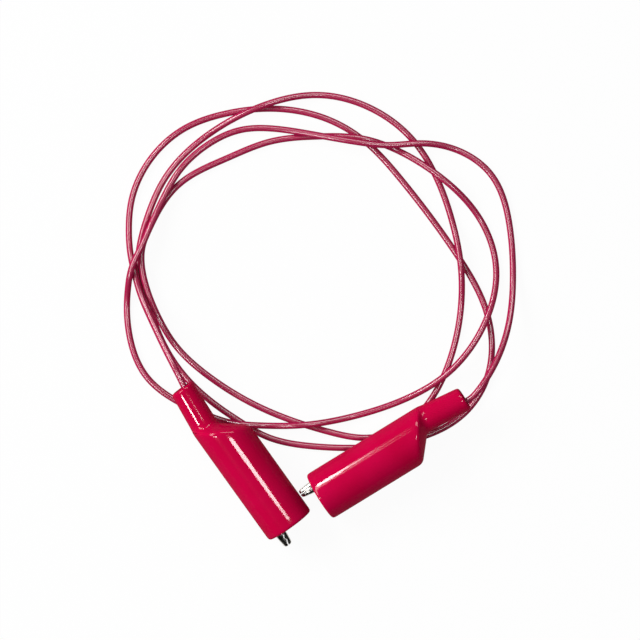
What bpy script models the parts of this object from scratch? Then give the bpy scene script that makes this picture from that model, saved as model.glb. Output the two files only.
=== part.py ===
"""A red test lead: one thin insulated cord with a spring clip at each end.

Each clip is a pair of toothed, nickel-plated steel channels on a rivet, closed by a torsion
spring. The cord's bare strands are clamped under a screw in the tail, and a soft boot covers
everything but the tips. The lead lies loosely coiled on a table, clips on their sides.

Units are metres, +Z is up and the table is z = 0. A clip is drawn in a frame of its own:
x toward the tips, y toward the thumb lever, z along the rivet, with the closed jaws meeting
on y = 0 and the boot's mouth at x = 0.
"""
import math

import bmesh
import bpy
import numpy as np
from mathutils import Matrix, Vector

MM = 0.001

# Clearance between pieces that seat on each other, and the running clearance of the jaws.
SEAT_GAP = 0.25 * MM
TOOTH_GAP = 0.30 * MM

# Cord.
CORD_RADIUS = 0.9 * MM
STRAND_RADIUS = 0.5 * MM

# Boot: a round body, a slanted shoulder and a narrower neck set to one side.
BOOT_LENGTH = 49.0 * MM
BOOT_WALL = 0.9 * MM
BODY_RADIUS = 7.15 * MM
JAW_CLEARANCE = 0.85 * MM
LEVER_CLEARANCE = 1.15 * MM
SHOULDER_START = 33.0 * MM
SHOULDER_SLANT = math.radians(26.0)
SHOULDER_LENGTH = 3.3 * MM
NECK_ROOT_RADIUS = 3.7 * MM
NECK_END_RADIUS = 3.45 * MM
NECK_OFFSET = 0.2 * MM
NECK_LEAN = 1.0 * MM
NECK_ROOT_SLANT = math.radians(18.0)
SHOULDER_ROUNDING = 1.3 * MM
RIM_ROUNDING = 0.6 * MM
BOOT_SIDES = 36

# Jaws, pressed from one thickness of sheet.
SHEET = 0.7 * MM
TIP_REACH = 4.2 * MM
NOSE_LENGTH = 3.0 * MM
NOSE_WIDTH = 2.6 * MM
NOSE_HEIGHT = 1.3 * MM
NOSE_ROUNDING = 1.0 * MM
FIXED_NOSE_END = 0.75 * MM
MOVING_NOSE_END = 0.5 * MM
JAW_FLARE = 8.0 * MM
JAW_WIDTH = 6.2 * MM
JAW_DEPTH = 2.0 * MM
CORNER_RADIUS = 0.7 * MM
TOOTH_PITCH = 1.6 * MM
TOOTH_HEIGHT = 0.8 * MM
TOOTH_COUNT = 7
PIVOT_SETBACK = 17.2 * MM
PIVOT_HEIGHT = 1.6 * MM
FIXED_EAR_RADIUS = 2.6 * MM
MOVING_EAR_RADIUS = 1.9 * MM
EAR_FOOT = 2.1 * MM
LEVER_END = 29.5 * MM
LEVER_WIDTH = 6.0 * MM
GRIP_RIB_HEIGHT = 0.25 * MM
GRIP_RIB_PITCH = 0.9 * MM
GRIP_RIB_COUNT = 4
TAIL_RIM = 0.7 * MM
TAIL_TAPER = 6.0 * MM
BARREL_LENGTH = 3.6 * MM
BARREL_LAP = 0.8 * MM

# Rivet, spring and wire screw.
RIVET_RADIUS = 0.9 * MM
RIVET_HEAD_RADIUS = 1.7 * MM
RIVET_HEAD_HEIGHT = 0.7 * MM
SPRING_WIRE_RADIUS = 0.3 * MM
SPRING_PITCH = 0.72 * MM
SPRING_CLEARANCE = 2.5 * MM
SCREW_FROM_PIVOT = 10.8 * MM
TAIL_FROM_SCREW = 8.5 * MM
HOOK_CLEARANCE = 0.05 * MM
SCREW_HEAD_RADIUS = 2.3 * MM
SCREW_HEAD_HEIGHT = 1.3 * MM
SCREW_TIP = 0.3 * MM
SLOT_WIDTH = 0.6 * MM
SLOT_DEPTH = 0.6 * MM

# What follows from the sizes above: where the screw and the tail are, how thick a screw the
# wire's hook leaves room for, how many turns of spring fit between the ears, how far the boot's
# body stands off the jaws, and how high the lever may rise inside it.
SCREW_SETBACK = PIVOT_SETBACK + SCREW_FROM_PIVOT
TAIL_END = SCREW_SETBACK + TAIL_FROM_SCREW
SCREW_RADIUS = 0.5 * JAW_WIDTH - SHEET - HOOK_CLEARANCE - 2.0 * STRAND_RADIUS - SEAT_GAP
SPRING_LEG = SCREW_FROM_PIVOT - SCREW_HEAD_RADIUS - SPRING_CLEARANCE
SPRING_HEIGHT = JAW_WIDTH - 4.0 * SHEET - 4.0 * SEAT_GAP - 2.0 * SPRING_WIRE_RADIUS
SPRING_TURNS = 0.5 + int(SPRING_HEIGHT / SPRING_PITCH - 0.49)
BODY_OFFSET = BODY_RADIUS - BOOT_WALL - JAW_CLEARANCE - JAW_DEPTH
WEB_CROWN = PIVOT_HEIGHT + RIVET_RADIUS + SEAT_GAP + 2.0 * SPRING_WIRE_RADIUS + SEAT_GAP + SHEET
LEVER_TOP = BODY_OFFSET + BODY_RADIUS - BOOT_WALL - LEVER_CLEARANCE

# Where the clips lie: the mouth's place on the table, the way the tips point and how far
# the neck end is propped up.
CLIPS = {
    "a": {"x": -30.1 * MM, "y": -20.8 * MM, "heading": math.radians(-90.0), "pitch": math.radians(4.5)},
    "b": {"x": -15.0 * MM, "y": -15.7 * MM, "heading": math.radians(176.2), "pitch": math.radians(5.0)},
}

# The cord's route from clip a to clip b, in millimetres: three loose turns on the table,
# lifted where one stretch lies on another and where it climbs to a boot.
CORD_ROUTE = [
    (-30.1, 15.7, 10.0), (-30.1, 19.1, 10.3), (-28.9, 24.6, 10.7), (-27.9, 29.5, 11.1),
    (-27.2, 34.0, 11.3), (-26.4, 39.7, 9.6), (-25.4, 45.7, 7.6), (-24.3, 51.8, 5.3),
    (-22.9, 57.4, 3.6), (-21.1, 62.3, 2.9), (-19.2, 66.8, 1.3), (-15.2, 73.3, 0.95),
    (-9.6, 79.6, 0.95), (0.4, 85.3, 0.95), (13.5, 87.0, 0.95), (25.7, 83.6, 0.95),
    (36.5, 77.6, 0.95), (48.5, 64.9, 0.95), (53.0, 54.2, 0.95), (54.9, 40.5, 0.95),
    (55.4, 12.6, 0.95), (53.4, -2.6, 0.95), (48.7, -12.7, 0.95), (41.3, -20.0, 0.95),
    (30.1, -23.9, 0.95), (17.2, -22.1, 0.95), (5.4, -16.8, 0.95), (-8.5, -6.8, 0.95),
    (-18.3, 4.1, 0.95), (-21.1, 10.3, 0.95), (-23.6, 16.9, 0.95), (-26.6, 30.3, 0.95),
    (-26.1, 41.7, 0.95), (-23.7, 51.4, 0.95), (-21.0, 59.5, 0.95), (-17.9, 64.9, 0.95),
    (-14.4, 68.6, 0.95), (-9.0, 72.9, 0.95), (1.5, 78.9, 0.95), (18.2, 81.7, 0.95),
    (35.1, 79.4, 3.5), (50.2, 72.5, 0.95), (59.2, 62.0, 0.95), (64.1, 46.8, 0.95),
    (63.6, 36.1, 0.95), (59.4, 21.1, 1.6), (55.0, 11.5, 3.4), (49.1, 2.6, 0.95),
    (37.0, -9.0, 0.95), (25.2, -15.4, 0.95), (14.0, -16.9, 0.95), (4.2, -12.9, 0.95),
    (-2.3, -6.4, 0.95), (-15.2, 12.3, 0.95), (-21.0, 26.0, 0.95), (-23.7, 39.5, 1.1),
    (-23.1, 47.2, 2.5), (-21.9, 53.2, 2.7), (-20.1, 58.8, 2.9), (-17.5, 63.9, 3.0),
    (-14.7, 67.1, 2.9), (-11.2, 69.4, 2.6), (-4.8, 72.8, 0.95), (2.5, 75.0, 0.95),
    (18.4, 73.3, 0.95), (31.2, 70.0, 0.95), (42.5, 63.7, 0.95), (53.0, 55.3, 3.4),
    (58.8, 47.3, 1.6), (63.6, 36.2, 3.5), (66.5, 17.7, 0.95), (62.5, 4.7, 0.95),
    (53.2, -4.8, 3.4), (34.6, -11.8, 3.4), (18.9, -10.6, 0.95), (5.0, -6.2, 0.95),
    (-8.0, 0.2, 3.7), (-16.5, 6.1, 2.3), (-21.2, 9.9, 3.1), (-23.8, 12.4, 1.9),
    (-27.7, 17.6, 0.95), (-32.0, 25.0, 0.95), (-35.4, 36.5, 0.95), (-32.4, 49.0, 0.95),
    (-28.2, 56.0, 0.95), (-25.1, 59.7, 2.9), (-22.3, 62.5, 4.7), (-19.5, 64.6, 5.1),
    (-16.2, 66.4, 5.1), (-9.6, 70.3, 4.5), (-2.5, 74.4, 3.1), (5.7, 78.1, 2.2),
    (15.6, 79.5, 0.95), (26.3, 77.5, 0.95), (35.0, 71.6, 1.5), (42.7, 64.0, 3.5),
    (52.3, 54.3, 5.3), (57.5, 49.9, 4.4), (64.7, 45.4, 3.4), (72.6, 37.5, 0.95),
    (76.3, 26.9, 0.95), (72.3, 11.9, 0.95), (64.9, -0.1, 1.9), (53.8, -12.2, 7.6),
    (43.7, -18.4, 10.8), (38.6, -20.3, 11.8), (34.6, -21.1, 11.5), (30.1, -20.0, 11.1),
    (24.8, -18.4, 10.6), (21.4, -18.1, 10.3),
]
CORD_POINTS = 88
CORD_BEND_WEIGHT = 18.0 * MM
CORD_BOOT_WEIGHT = 4.0
CORD_BOOT_HEIGHT = 9.5 * MM
CORD_LOWEST = CORD_RADIUS + 0.02 * MM


def clear_scene():
    """Remove whatever the open file holds."""
    for item in list(bpy.data.objects):
        bpy.data.objects.remove(item, do_unlink=True)


def material(name, color, metallic, roughness):
    """A plain Principled material."""
    made = bpy.data.materials.new(name)
    made.use_nodes = True
    shader = made.node_tree.nodes["Principled BSDF"]
    shader.inputs["Base Color"].default_value = (*color, 1.0)
    shader.inputs["Metallic"].default_value = metallic
    shader.inputs["Roughness"].default_value = roughness
    return made


def link(item, parent=None, finish=None):
    """Put an object in the scene, under its clip's empty, with its material."""
    bpy.context.scene.collection.objects.link(item)
    if parent is not None:
        item.parent = parent
    if finish is not None:
        item.data.materials.append(finish)
    return item


def loft(name, sections, looped=False):
    """A mesh object through rings of points, capped at its ends or looped back on itself."""
    shape = bmesh.new()
    rings = [[shape.verts.new(point) for point in section] for section in sections]
    count = len(rings[0])
    pairs = list(zip(rings, rings[1:]))
    if looped:
        pairs.append((rings[-1], rings[0]))
    for first, second in pairs:
        for i in range(count):
            j = (i + 1) % count
            shape.faces.new((first[i], first[j], second[j], second[i]))
    if not looped:
        shape.faces.new(rings[0])
        shape.faces.new(list(reversed(rings[-1])))
    bmesh.ops.recalc_face_normals(shape, faces=shape.faces)
    mesh = bpy.data.meshes.new(name)
    shape.to_mesh(mesh)
    shape.free()
    mesh.shade_smooth()
    mesh.set_sharp_from_angle(angle=math.radians(35.0))
    return bpy.data.objects.new(name, mesh)


def circle(center, radius, across, along, sides):
    """Points of a circle drawn with two perpendicular directions."""
    turns = [2.0 * math.pi * i / sides for i in range(sides)]
    return [center + radius * (math.cos(t) * across + math.sin(t) * along) for t in turns]


def turned(name, profile, origin, axis, across, sides):
    """A solid turned about an axis, from pairs of distance along it and radius."""
    along = axis.cross(across)
    return loft(name, [circle(origin + axis * s, r, across, along, sides) for s, r in profile])


def bent_wire(name, path, radius, sides):
    """A round wire swept along a path, its rings carried forward without twist."""
    points = [Vector(p) for p in path]
    side = None
    sections = []
    for i, point in enumerate(points):
        ahead = points[min(i + 1, len(points) - 1)]
        behind = points[max(i - 1, 0)]
        direction = (ahead - behind).normalized()
        if side is None:
            side = direction.orthogonal().normalized()
        side = (side - direction * side.dot(direction)).normalized()
        sections.append(circle(point, radius, side, direction.cross(side), sides))
    return loft(name, sections)


def boolean(item, cutter, operation):
    """Cut or join an object with a helper that the finished model leaves out."""
    change = item.modifiers.new(operation.lower() + "_" + cutter.name, "BOOLEAN")
    change.operation = operation
    change.object = cutter
    cutter.hide_render = True
    cutter.display_type = "WIRE"


def outline(pairs):
    """A height read along x from a few corners, given in any order."""
    ordered = sorted(pairs)
    xs = [x for x, _ in ordered]
    ys = [y for _, y in ordered]
    return lambda x: float(np.interp(x, xs, ys))


def rounded_loop(corners, reaches, steps=4):
    """A closed outline with each corner rounded, by its own reach at most."""
    points = []
    count = len(corners)
    for i, corner in enumerate(corners):
        before = corners[i - 1] - corner
        after = corners[(i + 1) % count] - corner
        reach = min(reaches[i], 0.45 * before.length, 0.45 * after.length)
        start = corner + before.normalized() * reach
        end = corner + after.normalized() * reach
        for step in range(steps):
            t = step / (steps - 1)
            points.append(start * (1 - t) ** 2 + corner * 2 * t * (1 - t) + end * t ** 2)
    return points


def boot_skin(turn, inset):
    """The boot's corners along one line from the neck's end to the mouth."""
    up = math.cos(turn)
    side = math.sin(turn)
    body = BODY_RADIUS - inset
    root = NECK_ROOT_RADIUS - inset
    end = NECK_END_RADIUS - inset
    shift = 0.45 * inset
    ridge_x = -SHOULDER_START + math.tan(SHOULDER_SLANT) * body * up + shift
    root_x = -SHOULDER_START - SHOULDER_LENGTH + math.tan(NECK_ROOT_SLANT) * root * up + shift
    neck_y = NECK_OFFSET + NECK_LEAN
    return [
        Vector((-BOOT_LENGTH, neck_y + end * up, end * side)),
        Vector((root_x, NECK_OFFSET + root * up, root * side)),
        Vector((ridge_x, BODY_OFFSET + body * up, body * side)),
        Vector((0.0, BODY_OFFSET + body * up, body * side)),
    ]


def make_boot(name):
    """The moulded sleeve, open at its mouth and at its neck."""
    sections = []
    inner_rim = 0.2 * BOOT_WALL
    reaches = [RIM_ROUNDING, SHOULDER_ROUNDING, SHOULDER_ROUNDING, RIM_ROUNDING,
               inner_rim, SHOULDER_ROUNDING, SHOULDER_ROUNDING, inner_rim]
    for i in range(BOOT_SIDES):
        turn = 2.0 * math.pi * i / BOOT_SIDES
        corners = boot_skin(turn, 0.0) + list(reversed(boot_skin(turn, BOOT_WALL)))
        sections.append(rounded_loop(corners, reaches))
    return loft(name, sections, looped=True)


def tooth_line(x):
    """The zigzag on which the two rows of teeth meet."""
    start = TIP_REACH - SHEET
    phase = (start - x) / TOOTH_PITCH
    if phase <= 0.0 or phase >= TOOTH_COUNT:
        return 0.0
    return TOOTH_HEIGHT * (0.5 - abs(phase % 1.0 - 0.5))


def tooth_stations():
    """The x of each tooth's root and crest."""
    start = TIP_REACH - SHEET
    return [start - 0.5 * TOOTH_PITCH * i for i in range(2 * TOOTH_COUNT + 1)]


def ear_corners(radius, sign):
    """The round of an ear about the pivot, above it or below it."""
    turns = [math.radians(angle) for angle in (0, 30, 60, 90, 120, 150, 180)]
    return [(-PIVOT_SETBACK + radius * math.cos(t), PIVOT_HEIGHT + sign * radius * math.sin(t)) for t in turns]


def nose_depth(x, end, full):
    """How deep a jaw is near its tip, where the nose is rounded over."""
    back = min(1.0, (TIP_REACH - x) / NOSE_ROUNDING)
    return end + (full - end) * math.sqrt(1.0 - (1.0 - back) ** 2)


def nose_stations():
    """Where the rounding of a nose gets its sections."""
    return [TIP_REACH - NOSE_ROUNDING * share for share in (0.0, 0.1, 0.25, 0.5, 1.0)]


def nose_half_width(x):
    """Half the width of a jaw near its tip, rounded over like its depth."""
    return nose_depth(x, 0.36 * NOSE_WIDTH, 0.5 * NOSE_WIDTH)


def channel(name, stations, half_width, floor, rim, side):
    """A pressed channel: rounded along its floor, open toward its rim, closed at the nose."""
    blank = []
    pocket = []
    nose = max(stations)
    tail = min(stations)
    for x in stations:
        w = half_width(x)
        f = floor(x)
        r = rim(x)
        c = min(CORNER_RADIUS, 0.6 * (abs(f) - 0.5 * TOOTH_GAP))
        half = [(r, w), (f + side * c, w), (f + side * 0.3 * c, w - 0.3 * c), (f, w - c)]
        blank.append([Vector((x, y, z)) for y, z in half] + [Vector((x, y, -z)) for y, z in reversed(half)])
    inside = [nose - SHEET] + [x for x in stations if tail < x < nose - SHEET] + [tail]
    for x in inside:
        w = half_width(x) - SHEET
        f = floor(x) + side * SHEET
        r = rim(x) + side * 4.0 * SHEET
        pocket.append([Vector((x, y, z)) for y, z in ((r, w), (f, w), (f, -w), (r, -w))])
    return loft(name, blank), loft(name + "_pocket", pocket)


def rivet_hole(name):
    """The cutter for the pivot's hole through both ears."""
    start = Vector((-PIVOT_SETBACK, PIVOT_HEIGHT, -JAW_WIDTH))
    radius = RIVET_RADIUS + SEAT_GAP
    return turned(name, [(0.0, radius), (2.0 * JAW_WIDTH, radius)], start, Vector((0, 0, 1)), Vector((1, 0, 0)), 20)


def make_fixed_jaw(name, parent, finish):
    """The long jaw: nose, teeth, ears for the rivet, screw seat and cord barrel in one."""
    barrel_radius = CORD_RADIUS + SEAT_GAP + SHEET
    tail_floor = -(barrel_radius - 0.05 * MM)
    teeth_end = tooth_stations()[-1]
    ears_start = -PIVOT_SETBACK + FIXED_EAR_RADIUS + EAR_FOOT
    behind_nose = outline([
        (TIP_REACH - NOSE_ROUNDING, 0.5 * NOSE_WIDTH),
        (TIP_REACH - NOSE_LENGTH, 0.65 * NOSE_WIDTH),
        (-JAW_FLARE, 0.5 * JAW_WIDTH - 0.5 * MM),
        (ears_start, 0.5 * JAW_WIDTH),
        (-TAIL_END + TAIL_TAPER, 0.5 * JAW_WIDTH),
        (-TAIL_END + TAIL_TAPER / 3.0, barrel_radius),
        (-TAIL_END, barrel_radius),
    ])
    sole = outline([
        (TIP_REACH - NOSE_ROUNDING, -NOSE_HEIGHT),
        (TIP_REACH - NOSE_LENGTH, -1.2 * NOSE_HEIGHT),
        (-JAW_FLARE, -JAW_DEPTH),
        (-TAIL_END + TAIL_TAPER - SHEET, -JAW_DEPTH),
        (-TAIL_END + TAIL_TAPER / 3.0, tail_floor),
        (-TAIL_END, tail_floor),
    ])

    def half_width(x):
        return nose_half_width(x) if x > TIP_REACH - NOSE_ROUNDING else behind_nose(x)

    def floor(x):
        if x > TIP_REACH - NOSE_ROUNDING:
            return -nose_depth(x, FIXED_NOSE_END, NOSE_HEIGHT)
        return sole(x)

    ear = ear_corners(FIXED_EAR_RADIUS, 1.0)
    rear = [
        (-PIVOT_SETBACK - FIXED_EAR_RADIUS - 2.5 * MM, -TAIL_RIM),
        (-TAIL_END, -TAIL_RIM),
    ]
    beyond_teeth = outline([(teeth_end, -0.5 * TOOTH_GAP), (ears_start, 0.4 * MM)] + ear + rear)

    def rim(x):
        if x > teeth_end:
            return tooth_line(x) - 0.5 * TOOTH_GAP
        return beyond_teeth(x)

    stations = nose_stations() + tooth_stations() + [ears_start] + [x for x, _ in ear + rear]
    stations += [TIP_REACH - NOSE_LENGTH, -JAW_FLARE]
    stations += [-TAIL_END + TAIL_TAPER, -TAIL_END + TAIL_TAPER - SHEET, -TAIL_END + TAIL_TAPER / 3.0]
    stations = sorted(set(stations), reverse=True)
    jaw, pocket = channel(name, stations, half_width, floor, rim, 1.0)
    link(jaw, parent, finish)
    link(pocket, parent)
    boolean(jaw, pocket, "DIFFERENCE")

    x_axis = Vector((-1, 0, 0))
    y_axis = Vector((0, 1, 0))
    barrel_start = Vector((-TAIL_END + BARREL_LAP, 0, 0))
    barrel = turned(name + "_barrel", [(0.0, barrel_radius), (BARREL_LENGTH, barrel_radius)],
                    barrel_start, x_axis, y_axis, 20)
    link(barrel, parent)
    boolean(jaw, barrel, "UNION")
    bore_radius = CORD_RADIUS + SEAT_GAP
    bore = turned(name + "_bore", [(-1.5 * MM, bore_radius), (BARREL_LENGTH + 1.0 * MM, bore_radius)],
                  barrel_start, x_axis, y_axis, 20)
    link(bore, parent)
    boolean(jaw, bore, "DIFFERENCE")

    pivot = link(rivet_hole(name + "_rivet_hole"), parent)
    boolean(jaw, pivot, "DIFFERENCE")
    seat_radius = SCREW_RADIUS + SEAT_GAP
    screw_hole = turned(name + "_screw_hole", [(0.0, seat_radius), (2.0 * JAW_DEPTH, seat_radius)],
                        Vector((-SCREW_SETBACK, -1.5 * JAW_DEPTH, 0)), Vector((0, 1, 0)), Vector((1, 0, 0)), 20)
    link(screw_hole, parent)
    boolean(jaw, screw_hole, "DIFFERENCE")
    return jaw


def grip_ribs(x):
    """Small pressed ribs across the lever's thumb pad."""
    phase = (x + LEVER_END - 0.6 * MM) / GRIP_RIB_PITCH
    if phase <= 0.0 or phase >= GRIP_RIB_COUNT:
        return 0.0
    return 2.0 * GRIP_RIB_HEIGHT * (0.5 - abs(phase % 1.0 - 0.5))


def moving_floor():
    """The outside of the moving jaw's web, from the nose over the pivot to the thumb pad."""
    behind_nose = outline([
        (TIP_REACH - NOSE_ROUNDING, NOSE_HEIGHT),
        (TIP_REACH - NOSE_LENGTH, 1.2 * NOSE_HEIGHT),
        (-JAW_FLARE, JAW_DEPTH + 0.3 * MM),
        (-PIVOT_SETBACK + 2.4 * MM, WEB_CROWN + 0.1 * MM),
        (-PIVOT_SETBACK - 2.0 * MM, WEB_CROWN + 0.1 * MM),
        (-LEVER_END, LEVER_TOP),
    ])

    def web(x):
        if x > TIP_REACH - NOSE_ROUNDING:
            return nose_depth(x, MOVING_NOSE_END, NOSE_HEIGHT)
        return behind_nose(x)

    return web


def make_moving_jaw(name, parent, finish):
    """The short jaw between the ears, with the thumb lever behind the pivot."""
    inner_width = 0.5 * JAW_WIDTH - SHEET - SEAT_GAP
    teeth_end = tooth_stations()[-1]
    web = moving_floor()
    behind_nose = outline([
        (TIP_REACH - NOSE_ROUNDING, 0.5 * NOSE_WIDTH),
        (TIP_REACH - NOSE_LENGTH, 0.65 * NOSE_WIDTH),
        (-JAW_FLARE, inner_width),
        (-PIVOT_SETBACK - 4.0 * MM, inner_width),
        (-LEVER_END + 3.0 * MM, 0.5 * LEVER_WIDTH),
        (-LEVER_END, 0.5 * LEVER_WIDTH - 0.4 * MM),
    ])

    def half_width(x):
        return nose_half_width(x) if x > TIP_REACH - NOSE_ROUNDING else behind_nose(x)

    def floor(x):
        return web(x) + grip_ribs(x)

    ear = ear_corners(MOVING_EAR_RADIUS, -1.0)
    rear = [
        (-PIVOT_SETBACK - MOVING_EAR_RADIUS - 1.9 * MM, PIVOT_HEIGHT + 0.9 * MM),
        (-LEVER_END, web(-LEVER_END) - 1.6 * SHEET),
    ]
    beyond_teeth = outline([(teeth_end, 0.5 * TOOTH_GAP), (teeth_end - 3.0 * MM, 0.4 * MM + TOOTH_GAP)] + ear + rear)

    def rim(x):
        if x > teeth_end:
            return tooth_line(x) + 0.5 * TOOTH_GAP
        return beyond_teeth(x)

    stations = nose_stations() + tooth_stations() + [x for x, _ in ear + rear]
    stations += [TIP_REACH - NOSE_LENGTH, -JAW_FLARE]
    stations += [-PIVOT_SETBACK + 2.4 * MM, -PIVOT_SETBACK - 2.0 * MM, -PIVOT_SETBACK - 4.0 * MM]
    stations += [-LEVER_END + 0.6 * MM + 0.5 * GRIP_RIB_PITCH * i for i in range(2 * GRIP_RIB_COUNT + 1)]
    stations = sorted(set(stations), reverse=True)
    jaw, pocket = channel(name, stations, half_width, floor, rim, -1.0)
    hole = rivet_hole(name + "_rivet_hole")
    pivot = Vector((-PIVOT_SETBACK, PIVOT_HEIGHT, 0))
    for item in (jaw, pocket, hole):
        item.data.transform(Matrix.Translation(-pivot))
        item.location = pivot
    link(jaw, parent, finish)
    link(pocket, parent)
    link(hole, parent)
    boolean(jaw, pocket, "DIFFERENCE")
    boolean(jaw, hole, "DIFFERENCE")
    return jaw


def make_rivet(name):
    """The pin of the hinge, headed over at both ends outside the ears."""
    inner = 0.5 * JAW_WIDTH + SEAT_GAP
    outer = inner + RIVET_HEAD_HEIGHT
    dome = 0.55 * RIVET_HEAD_RADIUS
    edge = inner + 0.4 * RIVET_HEAD_HEIGHT
    profile = [(-outer, dome), (-edge, RIVET_HEAD_RADIUS), (-inner, RIVET_HEAD_RADIUS), (-inner, RIVET_RADIUS),
               (inner, RIVET_RADIUS), (inner, RIVET_HEAD_RADIUS), (edge, RIVET_HEAD_RADIUS), (outer, dome)]
    origin = Vector((-PIVOT_SETBACK, PIVOT_HEIGHT, 0))
    return turned(name, profile, origin, Vector((0, 0, 1)), Vector((1, 0, 0)), 20)


def make_spring(name):
    """A torsion spring round the rivet, one leg on the fixed jaw's floor, one under the lever."""
    radius = RIVET_RADIUS + SEAT_GAP + SPRING_WIRE_RADIUS
    height = SPRING_HEIGHT
    steps = int(SPRING_TURNS * 12)
    center = Vector((-PIVOT_SETBACK, PIVOT_HEIGHT, 0))
    coil = []
    for i in range(steps + 1):
        t = i / steps
        turn = -0.5 * math.pi + 2.0 * math.pi * SPRING_TURNS * t
        coil.append(center + Vector((radius * math.cos(turn), radius * math.sin(turn), height * (t - 0.5))))
    clear = SHEET + SEAT_GAP + SPRING_WIRE_RADIUS
    low_y = -JAW_DEPTH + clear
    lower = [
        Vector((-PIVOT_SETBACK - SPRING_LEG, low_y, -0.5 * height)),
        Vector((-PIVOT_SETBACK - 0.5 * SPRING_LEG, low_y, -0.5 * height)),
        Vector((-PIVOT_SETBACK - 0.2 * SPRING_LEG, 0.5 * (low_y + coil[0].y), -0.5 * height)),
    ]
    web = moving_floor()
    slope_clear = 1.1 * clear
    upper = []
    for reach in (2.0 * MM, SPRING_LEG, SPRING_LEG + 2.0 * MM):
        x = -PIVOT_SETBACK - reach
        upper.append(Vector((x, web(x) - slope_clear, 0.5 * height)))
    return bent_wire(name, lower + coil + upper, SPRING_WIRE_RADIUS, 8)


def make_screw(name, parent, finish):
    """The wire screw: slotted head over the strands, shank through the fixed jaw's floor."""
    strands_y = -JAW_DEPTH + SHEET + SEAT_GAP + STRAND_RADIUS
    seat = strands_y + STRAND_RADIUS + SEAT_GAP
    tip = -JAW_DEPTH - SCREW_TIP
    top = seat + SCREW_HEAD_HEIGHT
    profile = [(tip, 0.75 * SCREW_RADIUS), (tip + 0.3 * MM, SCREW_RADIUS), (seat, SCREW_RADIUS),
               (seat, SCREW_HEAD_RADIUS), (seat + 0.55 * SCREW_HEAD_HEIGHT, SCREW_HEAD_RADIUS),
               (top - 0.12 * SCREW_HEAD_HEIGHT, 0.8 * SCREW_HEAD_RADIUS), (top, 0.5 * SCREW_HEAD_RADIUS)]
    screw = turned(name, profile, Vector((-SCREW_SETBACK, 0, 0)), Vector((0, 1, 0)), Vector((1, 0, 0)), 24)
    link(screw, parent, finish)
    half = 0.5 * SLOT_WIDTH
    reach = 1.2 * SCREW_HEAD_RADIUS
    square = [(-half, -reach), (half, -reach), (half, reach), (-half, reach)]
    heights = (top - SLOT_DEPTH, top + SLOT_DEPTH)
    slot = loft(name + "_slot", [[Vector((-SCREW_SETBACK + x, y, z)) for x, z in square] for y in heights])
    link(slot, parent)
    boolean(screw, slot, "DIFFERENCE")
    return screw


def make_conductor(name):
    """The bared, twisted strands, hooked round the screw under its head."""
    y = -JAW_DEPTH + SHEET + SEAT_GAP + STRAND_RADIUS
    hook = SCREW_RADIUS + SEAT_GAP + STRAND_RADIUS
    start = -TAIL_END + SEAT_GAP
    run = TAIL_FROM_SCREW - SEAT_GAP
    path = [Vector((start, 0, 0)), Vector((start + 0.15 * run, 0.0, 0.0))]
    path += [Vector((start + 0.36 * run, 0.6 * y, 0.4 * hook)), Vector((start + 0.73 * run, y, 0.85 * hook))]
    for i in range(11):
        turn = math.radians(105.0 - 21.0 * i)
        path.append(Vector((-SCREW_SETBACK + hook * math.cos(turn), y, hook * math.sin(turn))))
    return bent_wire(name, path, STRAND_RADIUS, 8)


def smooth_curve(route, steps):
    """Close points along the natural cubic curve through a route."""
    points = np.array(route) * MM
    spans = np.linalg.norm(np.diff(points, axis=0), axis=1)
    slopes = np.diff(points, axis=0) / spans[:, None]
    rows = np.eye(len(points))
    right = np.zeros_like(points)
    for i in range(1, len(points) - 1):
        rows[i, i - 1:i + 2] = (spans[i - 1], 2.0 * (spans[i - 1] + spans[i]), spans[i])
        right[i] = 6.0 * (slopes[i] - slopes[i - 1])
    bends = np.linalg.solve(rows, right)
    curve = []
    for i, span in enumerate(spans):
        for t in np.arange(steps) / steps:
            ahead = t ** 3 - t
            behind = (1.0 - t) ** 3 - (1.0 - t)
            straight = points[i] * (1.0 - t) + points[i + 1] * t
            curve.append(straight + (ahead * bends[i + 1] + behind * bends[i]) * span ** 2 / 6.0)
    curve.append(points[-1])
    curve = np.array(curve)
    curve[:, 2] = np.maximum(curve[:, 2], CORD_LOWEST)
    return curve


def thinned(curve, count):
    """Fewer points along a curve, closer together where it bends and up in the boots."""
    steps = np.diff(curve, axis=0)
    lengths = np.linalg.norm(steps, axis=1)
    ways = steps / lengths[:, None]
    turns = np.arccos(np.clip((ways[1:] * ways[:-1]).sum(axis=1), -1.0, 1.0))
    weights = np.where(curve[1:, 2] > CORD_BOOT_HEIGHT, CORD_BOOT_WEIGHT, 1.0)
    bends = CORD_BEND_WEIGHT * np.concatenate([[0.0], turns])
    pace = np.concatenate([[0.0], np.cumsum(weights * lengths + bends)])
    marks = np.linspace(0.0, pace[-1], count)
    return np.stack([np.interp(marks, pace, curve[:, k]) for k in range(3)], axis=1)


def make_cord(name):
    """The insulated cord as one tube with closed ends."""
    points = thinned(smooth_curve(CORD_ROUTE, 12), CORD_POINTS)
    line = bpy.data.curves.new(name, "CURVE")
    line.dimensions = "3D"
    line.bevel_depth = CORD_RADIUS
    line.bevel_resolution = 2
    line.use_fill_caps = True
    spline = line.splines.new("POLY")
    spline.points.add(len(points) - 1)
    for place, point in zip(spline.points, points):
        place.co = (*point, 1.0)
    return bpy.data.objects.new(name, line)


def place_clip(key, place):
    """The empty that carries one clip, propped at the neck with its mouth on the table."""
    holder = bpy.data.objects.new("clip_" + key, None)
    bpy.context.scene.collection.objects.link(holder)
    height = BODY_RADIUS * math.cos(place["pitch"])
    turn = Matrix.Rotation(place["heading"], 4, "Z") @ Matrix.Rotation(place["pitch"], 4, "Y")
    holder.matrix_world = Matrix.Translation((place["x"], place["y"], height)) @ turn
    return holder


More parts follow.
